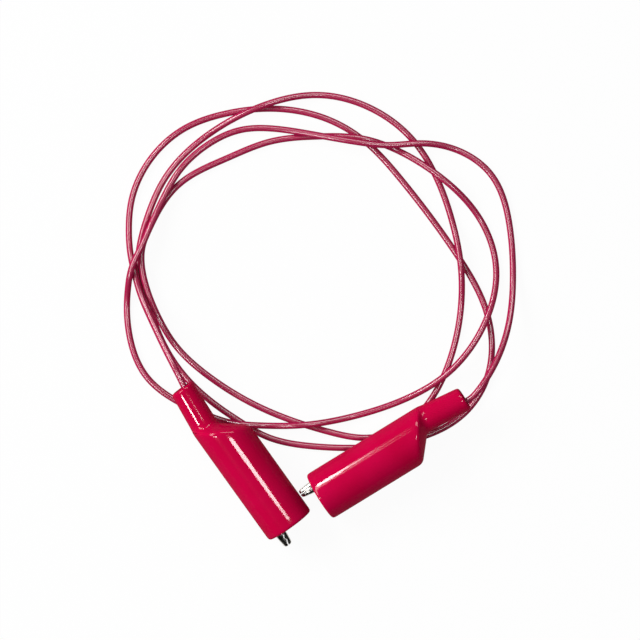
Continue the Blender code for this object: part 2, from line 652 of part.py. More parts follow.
def make_clip(key, place, finishes):
    """One whole clip with its boot."""
    holder = place_clip(key, place)
    make_fixed_jaw("fixed_jaw_" + key, holder, finishes["nickel"])
    make_moving_jaw("moving_jaw_" + key, holder, finishes["nickel"])
    link(make_rivet("pivot_rivet_" + key), holder, finishes["nickel"])
    link(make_spring("torsion_spring_" + key), holder, finishes["spring"])
    make_screw("wire_screw_" + key, holder, finishes["nickel"])
    link(make_conductor("conductor_end_" + key), holder, finishes["copper"])
    link(make_boot("boot_" + key), holder, finishes["boot"])


def main():
    clear_scene()
    finishes = {
        "nickel": material("nickel_plate", (0.62, 0.60, 0.57), 1.0, 0.22),
        "spring": material("spring_steel", (0.42, 0.42, 0.43), 1.0, 0.35),
        "copper": material("copper_strands", (0.72, 0.36, 0.20), 1.0, 0.40),
        "boot": material("boot_vinyl", (0.58, 0.0, 0.045), 0.0, 0.22),
        "cord": material("cord_vinyl", (0.36, 0.012, 0.07), 0.0, 0.40),
    }
    for key, place in CLIPS.items():
        make_clip(key, place, finishes)
    link(make_cord("cord"), None, finishes["cord"])


main()
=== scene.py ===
"""A red test lead lying in three loose turns on a white table, a booted spring clip at each end.

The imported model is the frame. The cord, the boots, the springs and the bared strands are made again
here in finer form, the jaws get rounded press edges, and the rivets and screws keep their solids.
"""
import math

import bmesh
import bpy
import numpy as np
from mathutils import Matrix, Vector, noise


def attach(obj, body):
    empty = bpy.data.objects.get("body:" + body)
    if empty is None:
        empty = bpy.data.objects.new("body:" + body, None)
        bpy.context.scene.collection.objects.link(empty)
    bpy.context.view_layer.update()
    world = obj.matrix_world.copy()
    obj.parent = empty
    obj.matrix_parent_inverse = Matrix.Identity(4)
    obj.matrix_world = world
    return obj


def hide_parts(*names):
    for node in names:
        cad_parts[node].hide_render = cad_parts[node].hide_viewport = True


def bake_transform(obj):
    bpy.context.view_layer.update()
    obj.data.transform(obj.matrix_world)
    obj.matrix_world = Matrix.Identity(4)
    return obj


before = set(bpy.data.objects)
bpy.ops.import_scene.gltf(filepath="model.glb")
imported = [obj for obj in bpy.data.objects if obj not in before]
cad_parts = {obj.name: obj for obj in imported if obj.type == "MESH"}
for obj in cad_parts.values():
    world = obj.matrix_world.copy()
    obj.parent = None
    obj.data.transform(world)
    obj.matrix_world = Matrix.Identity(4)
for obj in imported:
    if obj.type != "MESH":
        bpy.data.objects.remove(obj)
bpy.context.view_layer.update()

# The camera looks straight down from far above the table, so nothing leans, and is rolled until
# the coil lies as it does in the picture. One pixel of a 640-pixel frame is 0.281 mm of table.
MM = 0.001
FRAME_PIXELS = 640
TABLE_PER_PIXEL = 0.281 * MM
PICTURE_TURN = math.radians(-35.5)
PICTURE_CENTER = Vector((13.5 * MM, 21.1 * MM, 0.0))
CAMERA_HEIGHT = 1.5
SENSOR_WIDTH = 36.0

picture_right = Vector((math.cos(PICTURE_TURN), math.sin(PICTURE_TURN), 0.0))
picture_up = Vector((-math.sin(PICTURE_TURN), math.cos(PICTURE_TURN), 0.0))
camera_lens = bpy.data.cameras.new("copy_stand_camera")
camera_lens.sensor_width = SENSOR_WIDTH
camera_lens.lens = SENSOR_WIDTH * CAMERA_HEIGHT / (FRAME_PIXELS * TABLE_PER_PIXEL)
camera_lens.clip_start = 0.01
camera_lens.clip_end = 40.0
camera = bpy.data.objects.new("copy_stand_camera", camera_lens)
camera.location = PICTURE_CENTER + Vector((0.0, 0.0, CAMERA_HEIGHT))
camera.rotation_euler = (0.0, 0.0, PICTURE_TURN)
bpy.context.scene.collection.objects.link(camera)
bpy.context.scene.camera = camera
bpy.context.scene.view_settings.view_transform = "Standard"


# The cord is one length of thin wire in a smooth, soft red vinyl skin. It runs from barrel to
# barrel: out of clip a's neck, three loose turns over itself, and up into clip b's neck. The
# skin is swept along the lead's own route, with its pattern laid round and along it.
class Pattern:
    """A value that changes over a surface, so that patterns add and multiply as plain sums."""

    def __init__(self, finish, socket):
        self.finish = finish
        self.socket = socket

    def combine(self, operation, first, second):
        return self.finish.node("ShaderNodeMath", {"operation": operation}, {0: first, 1: second})

    def __add__(self, other):
        return self.combine("ADD", self, other)

    def __radd__(self, other):
        return self.combine("ADD", other, self)

    def __sub__(self, other):
        return self.combine("SUBTRACT", self, other)

    def __rsub__(self, other):
        return self.combine("SUBTRACT", other, self)

    def __mul__(self, other):
        return self.combine("MULTIPLY", self, other)

    def __rmul__(self, other):
        return self.combine("MULTIPLY", other, self)


class Finish:
    """A material being built on one Principled shader."""

    def __init__(self, name, constants):
        self.material = bpy.data.materials.new(name)
        self.material.use_nodes = True
        self.tree = self.material.node_tree
        self.shader = self.tree.nodes["Principled BSDF"]
        for key, value in constants.items():
            self.feed(key, value)

    def put(self, socket, value):
        """Link a pattern to a socket, or set its number or colour."""
        if isinstance(value, Pattern):
            self.tree.links.new(value.socket, socket)
        elif isinstance(value, tuple) and socket.type == "RGBA":
            socket.default_value = (*value, 1.0)
        else:
            socket.default_value = value

    def node(self, kind, settings=None, inputs=None, output=0):
        """Add any node, its settings first, and give back one of its outputs."""
        made = self.tree.nodes.new(kind)
        for key, value in (settings or {}).items():
            setattr(made, key, value)
        for key, value in (inputs or {}).items():
            self.put(made.inputs[key], value)
        return Pattern(self, made.outputs[output])

    def feed(self, name, value):
        """Feed one socket of the shader."""
        self.put(self.shader.inputs[name], value)

    def grain(self, place, scale, detail=2.0):
        """Noise from 0 to 1, its scale in waves per metre."""
        return self.node("ShaderNodeTexNoise", None, {"Vector": place, "Scale": scale, "Detail": detail})

    def stretched(self, place, scale):
        """Coordinates drawn out along one direction."""
        return self.node("ShaderNodeMapping", None, {"Vector": place, "Scale": scale})

    def between(self, value, low, high):
        """0 below low, 1 above high."""
        return self.node("ShaderNodeMapRange", {"clamp": True},
                         {"Value": value, "From Min": low, "From Max": high})

    def tint(self, share, first, second):
        """A colour between two colours."""
        return self.node("ShaderNodeMix", {"data_type": "RGBA"}, {0: share, 6: first, 7: second}, output=2)

    def relief(self, height, depth):
        """Let a pattern stand out of the surface by a depth in metres."""
        self.feed("Normal", self.node("ShaderNodeBump", None, {"Distance": depth, "Height": height}))


CORD_RADIUS = 0.9 * MM
CORD_SIDES = 20
CORD_STEPS = 13
CORD_LOWEST = CORD_RADIUS + 0.02 * MM
CORD_ROUTE = [
    (-30.1, 15.7, 10.0), (-30.1, 19.1, 10.3), (-28.9, 24.6, 10.7), (-27.9, 29.5, 11.1),
    (-27.2, 34.0, 11.3), (-26.4, 39.7, 9.6), (-25.4, 45.7, 7.6), (-24.3, 51.8, 5.3),
    (-22.9, 57.4, 3.6), (-21.1, 62.3, 2.9), (-19.2, 66.8, 1.3), (-15.2, 73.3, 0.95),
    (-9.6, 79.6, 0.95), (0.4, 85.3, 0.95), (13.5, 87.0, 0.95), (25.7, 83.6, 0.95),
    (36.5, 77.6, 0.95), (48.5, 64.9, 0.95), (53.0, 54.2, 0.95), (54.9, 40.5, 0.95),
    (55.4, 12.6, 0.95), (53.4, -2.6, 0.95), (48.7, -12.7, 0.95), (41.3, -20.0, 0.95),
    (30.1, -23.9, 0.95), (17.2, -22.1, 0.95), (5.4, -16.8, 0.95), (-8.5, -6.8, 0.95),
    (-18.3, 4.1, 0.95), (-21.1, 10.3, 0.95), (-23.6, 16.9, 0.95), (-26.6, 30.3, 0.95),
    (-26.1, 41.7, 0.95), (-23.7, 51.4, 0.95), (-21.0, 59.5, 0.95), (-17.9, 64.9, 0.95),
    (-14.4, 68.6, 0.95), (-9.0, 72.9, 0.95), (1.5, 78.9, 0.95), (18.2, 81.7, 0.95),
    (35.1, 79.4, 3.5), (50.2, 72.5, 0.95), (59.2, 62.0, 0.95), (64.1, 46.8, 0.95),
    (63.6, 36.1, 0.95), (59.4, 21.1, 1.6), (55.0, 11.5, 3.4), (49.1, 2.6, 0.95),
    (37.0, -9.0, 0.95), (25.2, -15.4, 0.95), (14.0, -16.9, 0.95), (4.2, -12.9, 0.95),
    (-2.3, -6.4, 0.95), (-15.2, 12.3, 0.95), (-21.0, 26.0, 0.95), (-23.7, 39.5, 1.1),
    (-23.1, 47.2, 2.5), (-21.9, 53.2, 2.7), (-20.1, 58.8, 2.9), (-17.5, 63.9, 3.0),
    (-14.7, 67.1, 2.9), (-11.2, 69.4, 2.6), (-4.8, 72.8, 0.95), (2.5, 75.0, 0.95),
    (18.4, 73.3, 0.95), (31.2, 70.0, 0.95), (42.5, 63.7, 0.95), (53.0, 55.3, 3.4),
    (58.8, 47.3, 1.6), (63.6, 36.2, 3.5), (66.5, 17.7, 0.95), (62.5, 4.7, 0.95),
    (53.2, -4.8, 3.4), (34.6, -11.8, 3.4), (18.9, -10.6, 0.95), (5.0, -6.2, 0.95),
    (-8.0, 0.2, 3.7), (-16.5, 6.1, 2.3), (-21.2, 9.9, 3.1), (-23.8, 12.4, 1.9),
    (-27.7, 17.6, 0.95), (-32.0, 25.0, 0.95), (-35.4, 36.5, 0.95), (-32.4, 49.0, 0.95),
    (-28.2, 56.0, 0.95), (-25.1, 59.7, 2.9), (-22.3, 62.5, 4.7), (-19.5, 64.6, 5.1),
    (-16.2, 66.4, 5.1), (-9.6, 70.3, 4.5), (-2.5, 74.4, 3.1), (5.7, 78.1, 2.2),
    (15.6, 79.5, 0.95), (26.3, 77.5, 0.95), (35.0, 71.6, 1.5), (42.7, 64.0, 3.5),
    (52.3, 54.3, 5.3), (57.5, 49.9, 4.4), (64.7, 45.4, 3.4), (72.6, 37.5, 0.95),
    (76.3, 26.9, 0.95), (72.3, 11.9, 0.95), (64.9, -0.1, 1.9), (53.8, -12.2, 7.6),
    (43.7, -18.4, 10.8), (38.6, -20.3, 11.8), (34.6, -21.1, 11.5), (30.1, -20.0, 11.1),
    (24.8, -18.4, 10.6), (21.4, -18.1, 10.3),
]


def smooth_line(route, steps):
    """Close points, in metres, along the natural cubic curve through a route in millimetres."""
    points = np.array(route) * MM
    spans = np.linalg.norm(np.diff(points, axis=0), axis=1)
    slopes = np.diff(points, axis=0) / spans[:, None]
    rows = np.eye(len(points))
    right = np.zeros_like(points)
    for i in range(1, len(points) - 1):
        rows[i, i - 1:i + 2] = (spans[i - 1], 2.0 * (spans[i - 1] + spans[i]), spans[i])
        right[i] = 6.0 * (slopes[i] - slopes[i - 1])
    bends = np.linalg.solve(rows, right)
    line = []
    for i, span in enumerate(spans):
        for t in np.arange(steps) / steps:
            ahead = t ** 3 - t
            behind = (1.0 - t) ** 3 - (1.0 - t)
            straight = points[i] * (1.0 - t) + points[i + 1] * t
            line.append(straight + (ahead * bends[i + 1] + behind * bends[i]) * span ** 2 / 6.0)
    line.append(points[-1])
    return np.array(line)


def placed_piece(name, shape):
    """Put a finished shape into the scene as a piece with its own mesh."""
    mesh = bpy.data.meshes.new(name)
    shape.to_mesh(mesh)
    shape.free()
    piece = bpy.data.objects.new(name, mesh)
    bpy.context.scene.collection.objects.link(piece)
    return piece


def swept_skin(name, line, radius, sides):
    """A closed round skin along a line, with a map of its length (u) and girth (v) in metres."""
    shape = bmesh.new()
    map_layer = shape.loops.layers.uv.new("lay")
    points = [Vector(p) for p in line]
    way = 0.0
    ways = []
    rings = []
    side = None
    for i, point in enumerate(points):
        if i:
            way += (point - points[i - 1]).length
        ahead = points[min(i + 1, len(points) - 1)]
        behind = points[max(i - 1, 0)]
        direction = (ahead - behind).normalized()
        if side is None:
            side = direction.orthogonal().normalized()
        side = (side - direction * side.dot(direction)).normalized()
        other = direction.cross(side)
        ring = []
        for k in range(sides):
            turn = 2.0 * math.pi * k / sides
            ring.append(shape.verts.new(point + radius * (math.cos(turn) * side + math.sin(turn) * other)))
        rings.append(ring)
        ways.append(way)
    girth = 2.0 * math.pi * radius
    for i in range(len(rings) - 1):
        for k in range(sides):
            j = (k + 1) % sides
            face = shape.faces.new((rings[i][k], rings[i][j], rings[i + 1][j], rings[i + 1][k]))
            face.smooth = True
            places = [(ways[i], k), (ways[i], k + 1), (ways[i + 1], k + 1), (ways[i + 1], k)]
            for loop, (u, v) in zip(face.loops, places):
                loop[map_layer].uv = (u, girth * v / sides)
    shape.faces.new(list(reversed(rings[0])))
    shape.faces.new(rings[-1])
    return placed_piece(name, shape)


cord_finish = Finish("cord_vinyl", {
    "Specular IOR Level": 0.0,
    "Coat IOR": 2.4,
    "Coat Roughness": 0.27,
})
cord_lay = cord_finish.node("ShaderNodeUVMap", {"uv_map": "lay"})
cord_place = cord_finish.node("ShaderNodeTexCoord", output="Object")
cord_drawn = cord_finish.grain(cord_finish.stretched(cord_lay, (60.0, 2500.0, 1.0)), 1.0)
cord_cloud = cord_finish.grain(cord_place, 180.0)
cord_pores = cord_finish.grain(cord_place, 4200.0)
cord_finish.feed("Base Color", cord_finish.tint(
    cord_finish.between(0.6 * cord_cloud + 0.4 * cord_drawn, 0.3, 0.7),
    (0.45, 0.006, 0.068), (0.54, 0.012, 0.098)))
cord_finish.feed("Roughness", 0.30 + 0.16 * cord_drawn)
cord_turned = cord_finish.node("ShaderNodeLayerWeight", None, {"Blend": 0.5}, output="Facing")
cord_finish.feed("Coat Weight", 1.0 - 0.95 * cord_finish.between(cord_turned, 0.2, 0.27))
cord_finish.relief(0.9 * cord_drawn + 0.1 * cord_pores, 0.002 * MM)

cord_line = smooth_line(CORD_ROUTE, CORD_STEPS)
cord_line[:, 2] = np.maximum(cord_line[:, 2], CORD_LOWEST)
cord_skin = swept_skin("cord_skin", cord_line, CORD_RADIUS, CORD_SIDES)
cord_skin.data.materials.append(cord_finish.material)
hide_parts("cord")
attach(cord_skin, "lead")

# The two jaws of each clip are pressed from 0.7 mm sheet steel and bright nickel plated. Their
# solids are copied with the sheared edges rounded over, and the plating is thinner and duller
# on the teeth and along those edges, where clips rub on terminals.
CLIP_PLACES = {
    "a": {"x": -30.1 * MM, "y": -20.8 * MM, "heading": math.radians(-90.0), "pitch": math.radians(4.5)},
    "b": {"x": -15.0 * MM, "y": -15.7 * MM, "heading": math.radians(176.2), "pitch": math.radians(5.0)},
}
BODY_RADIUS = 7.15 * MM
PRESS_EDGE = 0.09 * MM
WELD_GAP = 0.002 * MM
FLAT_ANGLE = math.radians(1.0)
EDGE_ANGLE = math.radians(28.0)
SMOOTH_ANGLE = math.radians(40.0)


def clip_frame(key):
    """The frame of one clip: x toward its tips, y toward its lever, z along its rivet."""
    place = CLIP_PLACES[key]
    height = BODY_RADIUS * math.cos(place["pitch"])
    turn = Matrix.Rotation(place["heading"], 4, "Z") @ Matrix.Rotation(place["pitch"], 4, "Y")
    return Matrix.Translation((place["x"], place["y"], height)) @ turn


nickel_finish = Finish("nickel_plate", {"Metallic": 1.0})
nickel_place = nickel_finish.node("ShaderNodeTexCoord", output="Object")
nickel_cloud = nickel_finish.grain(nickel_place, 700.0)
nickel_scratch = nickel_finish.grain(nickel_finish.stretched(nickel_place, (300.0, 9000.0, 9000.0)), 1.0, 3.0)
nickel_wear = nickel_finish.between(
    nickel_finish.node("ShaderNodeAttribute", {"attribute_name": "edge_wear"}, output="Fac")
    + 0.5 * nickel_cloud - 0.25, 0.25, 0.75)
nickel_finish.feed("Base Color", nickel_finish.tint(nickel_wear, (0.74, 0.72, 0.69), (0.56, 0.53, 0.48)))
nickel_finish.feed("Roughness", 0.14 + 0.08 * nickel_cloud + 0.10 * nickel_wear)
nickel_finish.relief(nickel_scratch, 0.0015 * MM)


def pressed_copy(name, node):
    """A copy of a pressed part with rounded edges and a note of how worn each point is."""
    shape = bmesh.new()
    shape.from_mesh(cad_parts[node].data)
    bmesh.ops.remove_doubles(shape, verts=shape.verts, dist=WELD_GAP)
    bmesh.ops.dissolve_limit(shape, angle_limit=FLAT_ANGLE, verts=shape.verts, edges=shape.edges)
    sharp = [e for e in shape.edges if e.is_manifold and e.calc_face_angle() > EDGE_ANGLE]
    made = bmesh.ops.bevel(shape, geom=sharp, offset=PRESS_EDGE, segments=2, profile=0.6, affect="EDGES",
                           clamp_overlap=True)
    worn = shape.verts.layers.float.new("edge_wear")
    for face in made["faces"]:
        for corner in face.verts:
            corner[worn] = 1.0
    bmesh.ops.triangulate(shape, faces=shape.faces)
    for face in shape.faces:
        face.smooth = True
    piece = placed_piece(name, shape)
    piece.data.set_sharp_from_angle(angle=SMOOTH_ANGLE)
    return piece


for key in CLIP_PLACES:
    for jaw, body in (("fixed_jaw_", "lead"), ("moving_jaw_", "moving_jaw_" + key)):
        plated = pressed_copy("pressed_" + jaw + key, jaw + key)
        plated.data.materials.append(nickel_finish.material)
        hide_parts(jaw + key)
        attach(plated, body)

# Each clip hinges on a steel rivet and clamps the bared wire under a slotted screw. Both are
# small turned parts in the same plating, left bright, and keep their solids.
for key in CLIP_PLACES:
    for small in ("pivot_rivet_", "wire_screw_"):
        turned_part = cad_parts[small + key]
        turned_part.data.materials.clear()
        turned_part.data.materials.append(nickel_finish.material)

# A torsion spring of 0.6 mm steel wire sits on each rivet and holds the jaws shut: two and a
# half turns, one leg on the fixed jaw's floor and one up under the lever. The wire is drawn
# along a path through the same places as the solid's.
PIVOT = Vector((-17.2 * MM, 1.6 * MM, 0.0))
SPRING_WIRE_RADIUS = 0.3 * MM
SPRING_COIL_RADIUS = 1.45 * MM
SPRING_TURNS = 2.5
SPRING_PITCH = 0.72 * MM
SPRING_FLOOR = -0.75 * MM
SPRING_LEG = 6.0 * MM
SPRING_STEP = 0.12 * MM
SPRING_STEPS_PER_TURN = 36
LEVER_START = 2.0 * MM
LEVER_UNDERSIDE = 3.025 * MM
LEVER_SLOPE = 0.398


def socket_in(tree, name, kind, value):
    """Add a named input to a node tree and give back its identifier."""
    made = tree.interface.new_socket(name=name, in_out="INPUT", socket_type=kind)
    if value is not None:
        made.default_value = value
    return made.identifier


def chain(tree, kind, settings=None, inputs=None):
    """Add a node to a tree, its settings first, then its values and links."""
    made = tree.nodes.new(kind)
    for key, value in (settings or {}).items():
        setattr(made, key, value)
    for key, value in (inputs or {}).items():
        if isinstance(value, bpy.types.NodeSocket):
            tree.links.new(value, made.inputs[key])
        else:
            made.inputs[key].default_value = value
    return made


def path_mesh(name, points):
    """A line of edges for a node tree to follow."""
    mesh = bpy.data.meshes.new(name)
    mesh.from_pydata([tuple(p) for p in points], [(i, i + 1) for i in range(len(points) - 1)], [])
    return mesh


def grown(name, mesh, tree, values):
    """Run a node tree on a mesh and keep the result as a plain mesh object."""
    host = bpy.data.objects.new(name + "_path", mesh)
    bpy.context.scene.collection.objects.link(host)
    change = host.modifiers.new(name, "NODES")
    change.node_group = tree
    for identifier, value in values.items():
        change[identifier] = value
    graph = bpy.context.evaluated_depsgraph_get()
    result = bpy.data.meshes.new_from_object(host.evaluated_get(graph), depsgraph=graph)
    host.modifiers.remove(change)
    bpy.data.objects.remove(host, do_unlink=True)
    result.name = name
    piece = bpy.data.objects.new(name, result)
    bpy.context.scene.collection.objects.link(piece)
    return piece


def sweep_wire(tree, given, curve, sides, radius):
    """End a tree: sweep a round wire along its curves, in the finish that the tree is given."""
    ring = chain(tree, "GeometryNodeCurvePrimitiveCircle", None, {"Resolution": sides, "Radius": radius})
    body = chain(tree, "GeometryNodeCurveToMesh", None,
                 {"Curve": curve, "Profile Curve": ring.outputs[0], "Fill Caps": True})
    real = chain(tree, "GeometryNodeRealizeInstances", None, {0: body.outputs[0]})
    done = chain(tree, "GeometryNodeSetMaterial", None,
                 {"Geometry": real.outputs[0], "Material": given.outputs["Finish"]})
    chain(tree, "NodeGroupOutput", None, {0: done.outputs[0]})


spring_tree = bpy.data.node_groups.new("drawn_spring_wire", "GeometryNodeTree")
spring_tree.interface.new_socket(name="Geometry", in_out="INPUT", socket_type="NodeSocketGeometry")
spring_radius_in = socket_in(spring_tree, "Wire Radius", "NodeSocketFloat", SPRING_WIRE_RADIUS)
socket_in(spring_tree, "Step", "NodeSocketFloat", SPRING_STEP)
spring_finish_in = socket_in(spring_tree, "Finish", "NodeSocketMaterial", None)
spring_tree.interface.new_socket(name="Geometry", in_out="OUTPUT", socket_type="NodeSocketGeometry")
spring_in = chain(spring_tree, "NodeGroupInput")
spring_path = chain(spring_tree, "GeometryNodeMeshToCurve", None, {0: spring_in.outputs[0]})
spring_even = chain(spring_tree, "GeometryNodeResampleCurve", {"mode": "LENGTH"},
                    {"Curve": spring_path.outputs[0], "Length": spring_in.outputs["Step"]})
sweep_wire(spring_tree, spring_in, spring_even.outputs[0], 12, spring_in.outputs["Wire Radius"])

spring_finish = Finish("spring_steel", {"Metallic": 1.0})
spring_place = spring_finish.node("ShaderNodeTexCoord", output="Object")
spring_cloud = spring_finish.grain(spring_place, 900.0)
spring_die = spring_finish.grain(spring_place, 9000.0, 3.0)
spring_finish.feed("Base Color", spring_finish.tint(spring_cloud, (0.36, 0.35, 0.35), (0.48, 0.48, 0.49)))
spring_finish.feed("Roughness", 0.24 + 0.2 * spring_die)
spring_finish.relief(spring_die, 0.005 * MM)


def spring_line():
    """The path of the spring's wire in the clip's frame."""
    height = SPRING_TURNS * SPRING_PITCH
    steps = int(SPRING_TURNS * SPRING_STEPS_PER_TURN)
    low = -0.5 * height
    points = [
        Vector((PIVOT.x - SPRING_LEG, SPRING_FLOOR, low)),
        Vector((PIVOT.x - 3.0 * MM, SPRING_FLOOR, low)),
        Vector((PIVOT.x - 1.2 * MM, 0.5 * (SPRING_FLOOR + PIVOT.y - SPRING_COIL_RADIUS), low)),
    ]
    for i in range(steps + 1):
        turn = -0.5 * math.pi + 2.0 * math.pi * SPRING_TURNS * i / steps
        points.append(PIVOT + Vector((
            SPRING_COIL_RADIUS * math.cos(turn), SPRING_COIL_RADIUS * math.sin(turn),
            height * (i / steps - 0.5))))
    for back in (LEVER_START, SPRING_LEG, SPRING_LEG + 2.0 * MM):
        under_lever = LEVER_UNDERSIDE + LEVER_SLOPE * (back - LEVER_START)
        points.append(Vector((PIVOT.x - back, under_lever, 0.5 * height)))
    return points


for key in CLIP_PLACES:
    stand = clip_frame(key)
    coil_path = path_mesh("spring_path_" + key, [stand @ p for p in spring_line()])
    spring = grown("wound_spring_" + key, coil_path, spring_tree, {
        spring_radius_in: SPRING_WIRE_RADIUS,
        spring_finish_in: spring_finish.material,
    })
    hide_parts("torsion_spring_" + key)
    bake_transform(spring)

# Inside each clip the cord is bared: seven copper strands twisted together, led out of the
# cord and hooked round the screw. Six are laid round a straight one along the solid's path.
SCREW_X = -28.0 * MM
BARED_START = -36.25 * MM
BARED_FLOOR = -0.55 * MM
HOOK_RADIUS = 1.85 * MM
STRAND_RADIUS = 0.165 * MM
STRAND_LAY = 5.0 * MM
STRAND_STEP = 0.15 * MM
OUTER_STRANDS = 6
HOOK_START_DEGREES = 105.0
HOOK_STEP_DEGREES = 10.0
HOOK_POINTS = 22

strand_tree = bpy.data.node_groups.new("twisted_strands", "GeometryNodeTree")
strand_tree.interface.new_socket(name="Geometry", in_out="INPUT", socket_type="NodeSocketGeometry")
strand_count_in = socket_in(strand_tree, "Outer Strands", "NodeSocketInt", OUTER_STRANDS)
socket_in(strand_tree, "Strand Radius", "NodeSocketFloat", STRAND_RADIUS)
socket_in(strand_tree, "Lay Length", "NodeSocketFloat", STRAND_LAY)
strand_finish_in = socket_in(strand_tree, "Finish", "NodeSocketMaterial", None)
strand_tree.interface.new_socket(name="Geometry", in_out="OUTPUT", socket_type="NodeSocketGeometry")
strand_in = chain(strand_tree, "NodeGroupInput")
strand_path = chain(strand_tree, "GeometryNodeMeshToCurve", None, {0: strand_in.outputs[0]})
strand_even = chain(strand_tree, "GeometryNodeResampleCurve", {"mode": "LENGTH"},
                    {"Curve": strand_path.outputs[0], "Length": STRAND_STEP})
strand_copies = chain(strand_tree, "GeometryNodeDuplicateElements", {"domain": "SPLINE"},
                      {"Geometry": strand_even.outputs[0], "Amount": strand_in.outputs["Outer Strands"]})
strand_share = chain(strand_tree, "ShaderNodeMath", {"operation": "DIVIDE"},
                     {0: strand_copies.outputs["Duplicate Index"], 1: strand_in.outputs["Outer Strands"]})
strand_along = chain(strand_tree, "GeometryNodeSplineParameter")
strand_twist = chain(strand_tree, "ShaderNodeMath", {"operation": "DIVIDE"},
                     {0: strand_along.outputs["Length"], 1: strand_in.outputs["Lay Length"]})
strand_sum = chain(strand_tree, "ShaderNodeMath", {"operation": "ADD"},
                   {0: strand_share.outputs[0], 1: strand_twist.outputs[0]})
strand_turn = chain(strand_tree, "ShaderNodeMath", {"operation": "MULTIPLY"},
                    {0: strand_sum.outputs[0], 1: 2.0 * math.pi})
strand_out = chain(strand_tree, "GeometryNodeInputNormal")
strand_way = chain(strand_tree, "GeometryNodeInputTangent")
strand_aim = chain(strand_tree, "ShaderNodeVectorRotate", {"rotation_type": "AXIS_ANGLE"}, {
    "Vector": strand_out.outputs[0], "Axis": strand_way.outputs[0], "Angle": strand_turn.outputs[0]})
strand_reach = chain(strand_tree, "ShaderNodeMath", {"operation": "MULTIPLY"},
                     {0: strand_in.outputs["Strand Radius"], 1: 2.0})
strand_shift = chain(strand_tree, "ShaderNodeVectorMath", {"operation": "SCALE"},
                     {0: strand_aim.outputs[0], "Scale": strand_reach.outputs[0]})
strand_laid = chain(strand_tree, "GeometryNodeSetPosition", None,
                    {"Geometry": strand_copies.outputs[0], "Offset": strand_shift.outputs[0]})
strand_all = chain(strand_tree, "GeometryNodeJoinGeometry")
strand_tree.links.new(strand_laid.outputs[0], strand_all.inputs[0])
strand_tree.links.new(strand_even.outputs[0], strand_all.inputs[0])
sweep_wire(strand_tree, strand_in, strand_all.outputs[0], 8, strand_in.outputs["Strand Radius"])

copper_finish = Finish("copper_strands", {"Metallic": 1.0})
copper_place = copper_finish.node("ShaderNodeTexCoord", output="Object")
copper_cloud = copper_finish.grain(copper_place, 800.0)
copper_finish.feed("Base Color", copper_finish.tint(
    copper_finish.between(copper_cloud, 0.35, 0.7), (0.76, 0.37, 0.21), (0.44, 0.19, 0.11)))
copper_finish.feed("Roughness", 0.26 + 0.25 * copper_cloud)
copper_finish.relief(copper_finish.grain(copper_place, 9000.0), 0.004 * MM)


def bared_line():
    """The path of the bared wire in the clip's frame, from the cord's end round the screw."""
    points = [
        Vector((BARED_START, 0.0, 0.0)),
        Vector((BARED_START + 1.2 * MM, 0.0, 0.0)),
        Vector((BARED_START + 3.0 * MM, 0.6 * BARED_FLOOR, 0.4 * HOOK_RADIUS)),
        Vector((SCREW_X - 2.2 * MM, BARED_FLOOR, 0.85 * HOOK_RADIUS)),
    ]
    for i in range(HOOK_POINTS):
        turn = math.radians(HOOK_START_DEGREES - HOOK_STEP_DEGREES * i)
        points.append(Vector((
            SCREW_X + HOOK_RADIUS * math.cos(turn), BARED_FLOOR, HOOK_RADIUS * math.sin(turn))))
    return points


for key in CLIP_PLACES:
    stand = clip_frame(key)
    bared_path = path_mesh("bared_path_" + key, [stand @ p for p in bared_line()])
    strands = grown("bared_strands_" + key, bared_path, strand_tree, {
        strand_count_in: OUTER_STRANDS,
        strand_finish_in: copper_finish.material,
    })
    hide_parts("conductor_end_" + key)
    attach(strands, "lead")

# A boot of soft, glossy crimson vinyl slips over each clip: a round body, a slanted shoulder
# and a narrow neck to one side for the cord. It is dip moulded, so its skin is smooth with
# soft hollows and a faint seam down each side, and its edges are rolled round.
BOOT_LENGTH = 49.0 * MM
BOOT_WALL = 0.9 * MM
BODY_OFFSET = 3.4 * MM
SHOULDER_START = 33.0 * MM
SHOULDER_SLANT = math.radians(26.0)
SHOULDER_LENGTH = 3.3 * MM
NECK_ROOT_RADIUS = 3.7 * MM
NECK_END_RADIUS = 3.45 * MM
NECK_OFFSET = 0.2 * MM
NECK_LEAN = 1.0 * MM
NECK_ROOT_SLANT = math.radians(18.0)
SHOULDER_ROUNDING = 1.3 * MM
RIM_ROUNDING = 1.1 * MM
INNER_ROUNDING = 0.2 * BOOT_WALL
BEND_SHARE = 0.65
BEND_STEPS = 7
STRAIGHT_STEPS = [8, 4, 20, 2, 14, 4, 6, 2]
BOOT_SIDES = 96
SEAM_HEIGHT = 0.05 * MM
HOLLOW_DEPTH = 0.03 * MM
HOLLOW_FADE = 3.0 * MM
HOLLOWS_PER_METRE = 70.0
HOLLOW_SEEDS = {"a": 3.0, "b": 11.0}


def boot_corners(turn, inset):
    """The boot's corners along one line from the neck's end to the mouth."""
    up = math.cos(turn)
    side = math.sin(turn)
    body = BODY_RADIUS - inset
    root = NECK_ROOT_RADIUS - inset
    end = NECK_END_RADIUS - inset
    shift = 0.45 * inset
    ridge_x = -SHOULDER_START + math.tan(SHOULDER_SLANT) * body * up + shift
    root_x = -SHOULDER_START - SHOULDER_LENGTH + math.tan(NECK_ROOT_SLANT) * root * up + shift
    neck_y = NECK_OFFSET + NECK_LEAN
    return [
        Vector((-BOOT_LENGTH, neck_y + end * up, end * side)),
        Vector((root_x, NECK_OFFSET + root * up, root * side)),
        Vector((ridge_x, BODY_OFFSET + body * up, body * side)),
        Vector((0.0, BODY_OFFSET + body * up, body * side)),
    ]


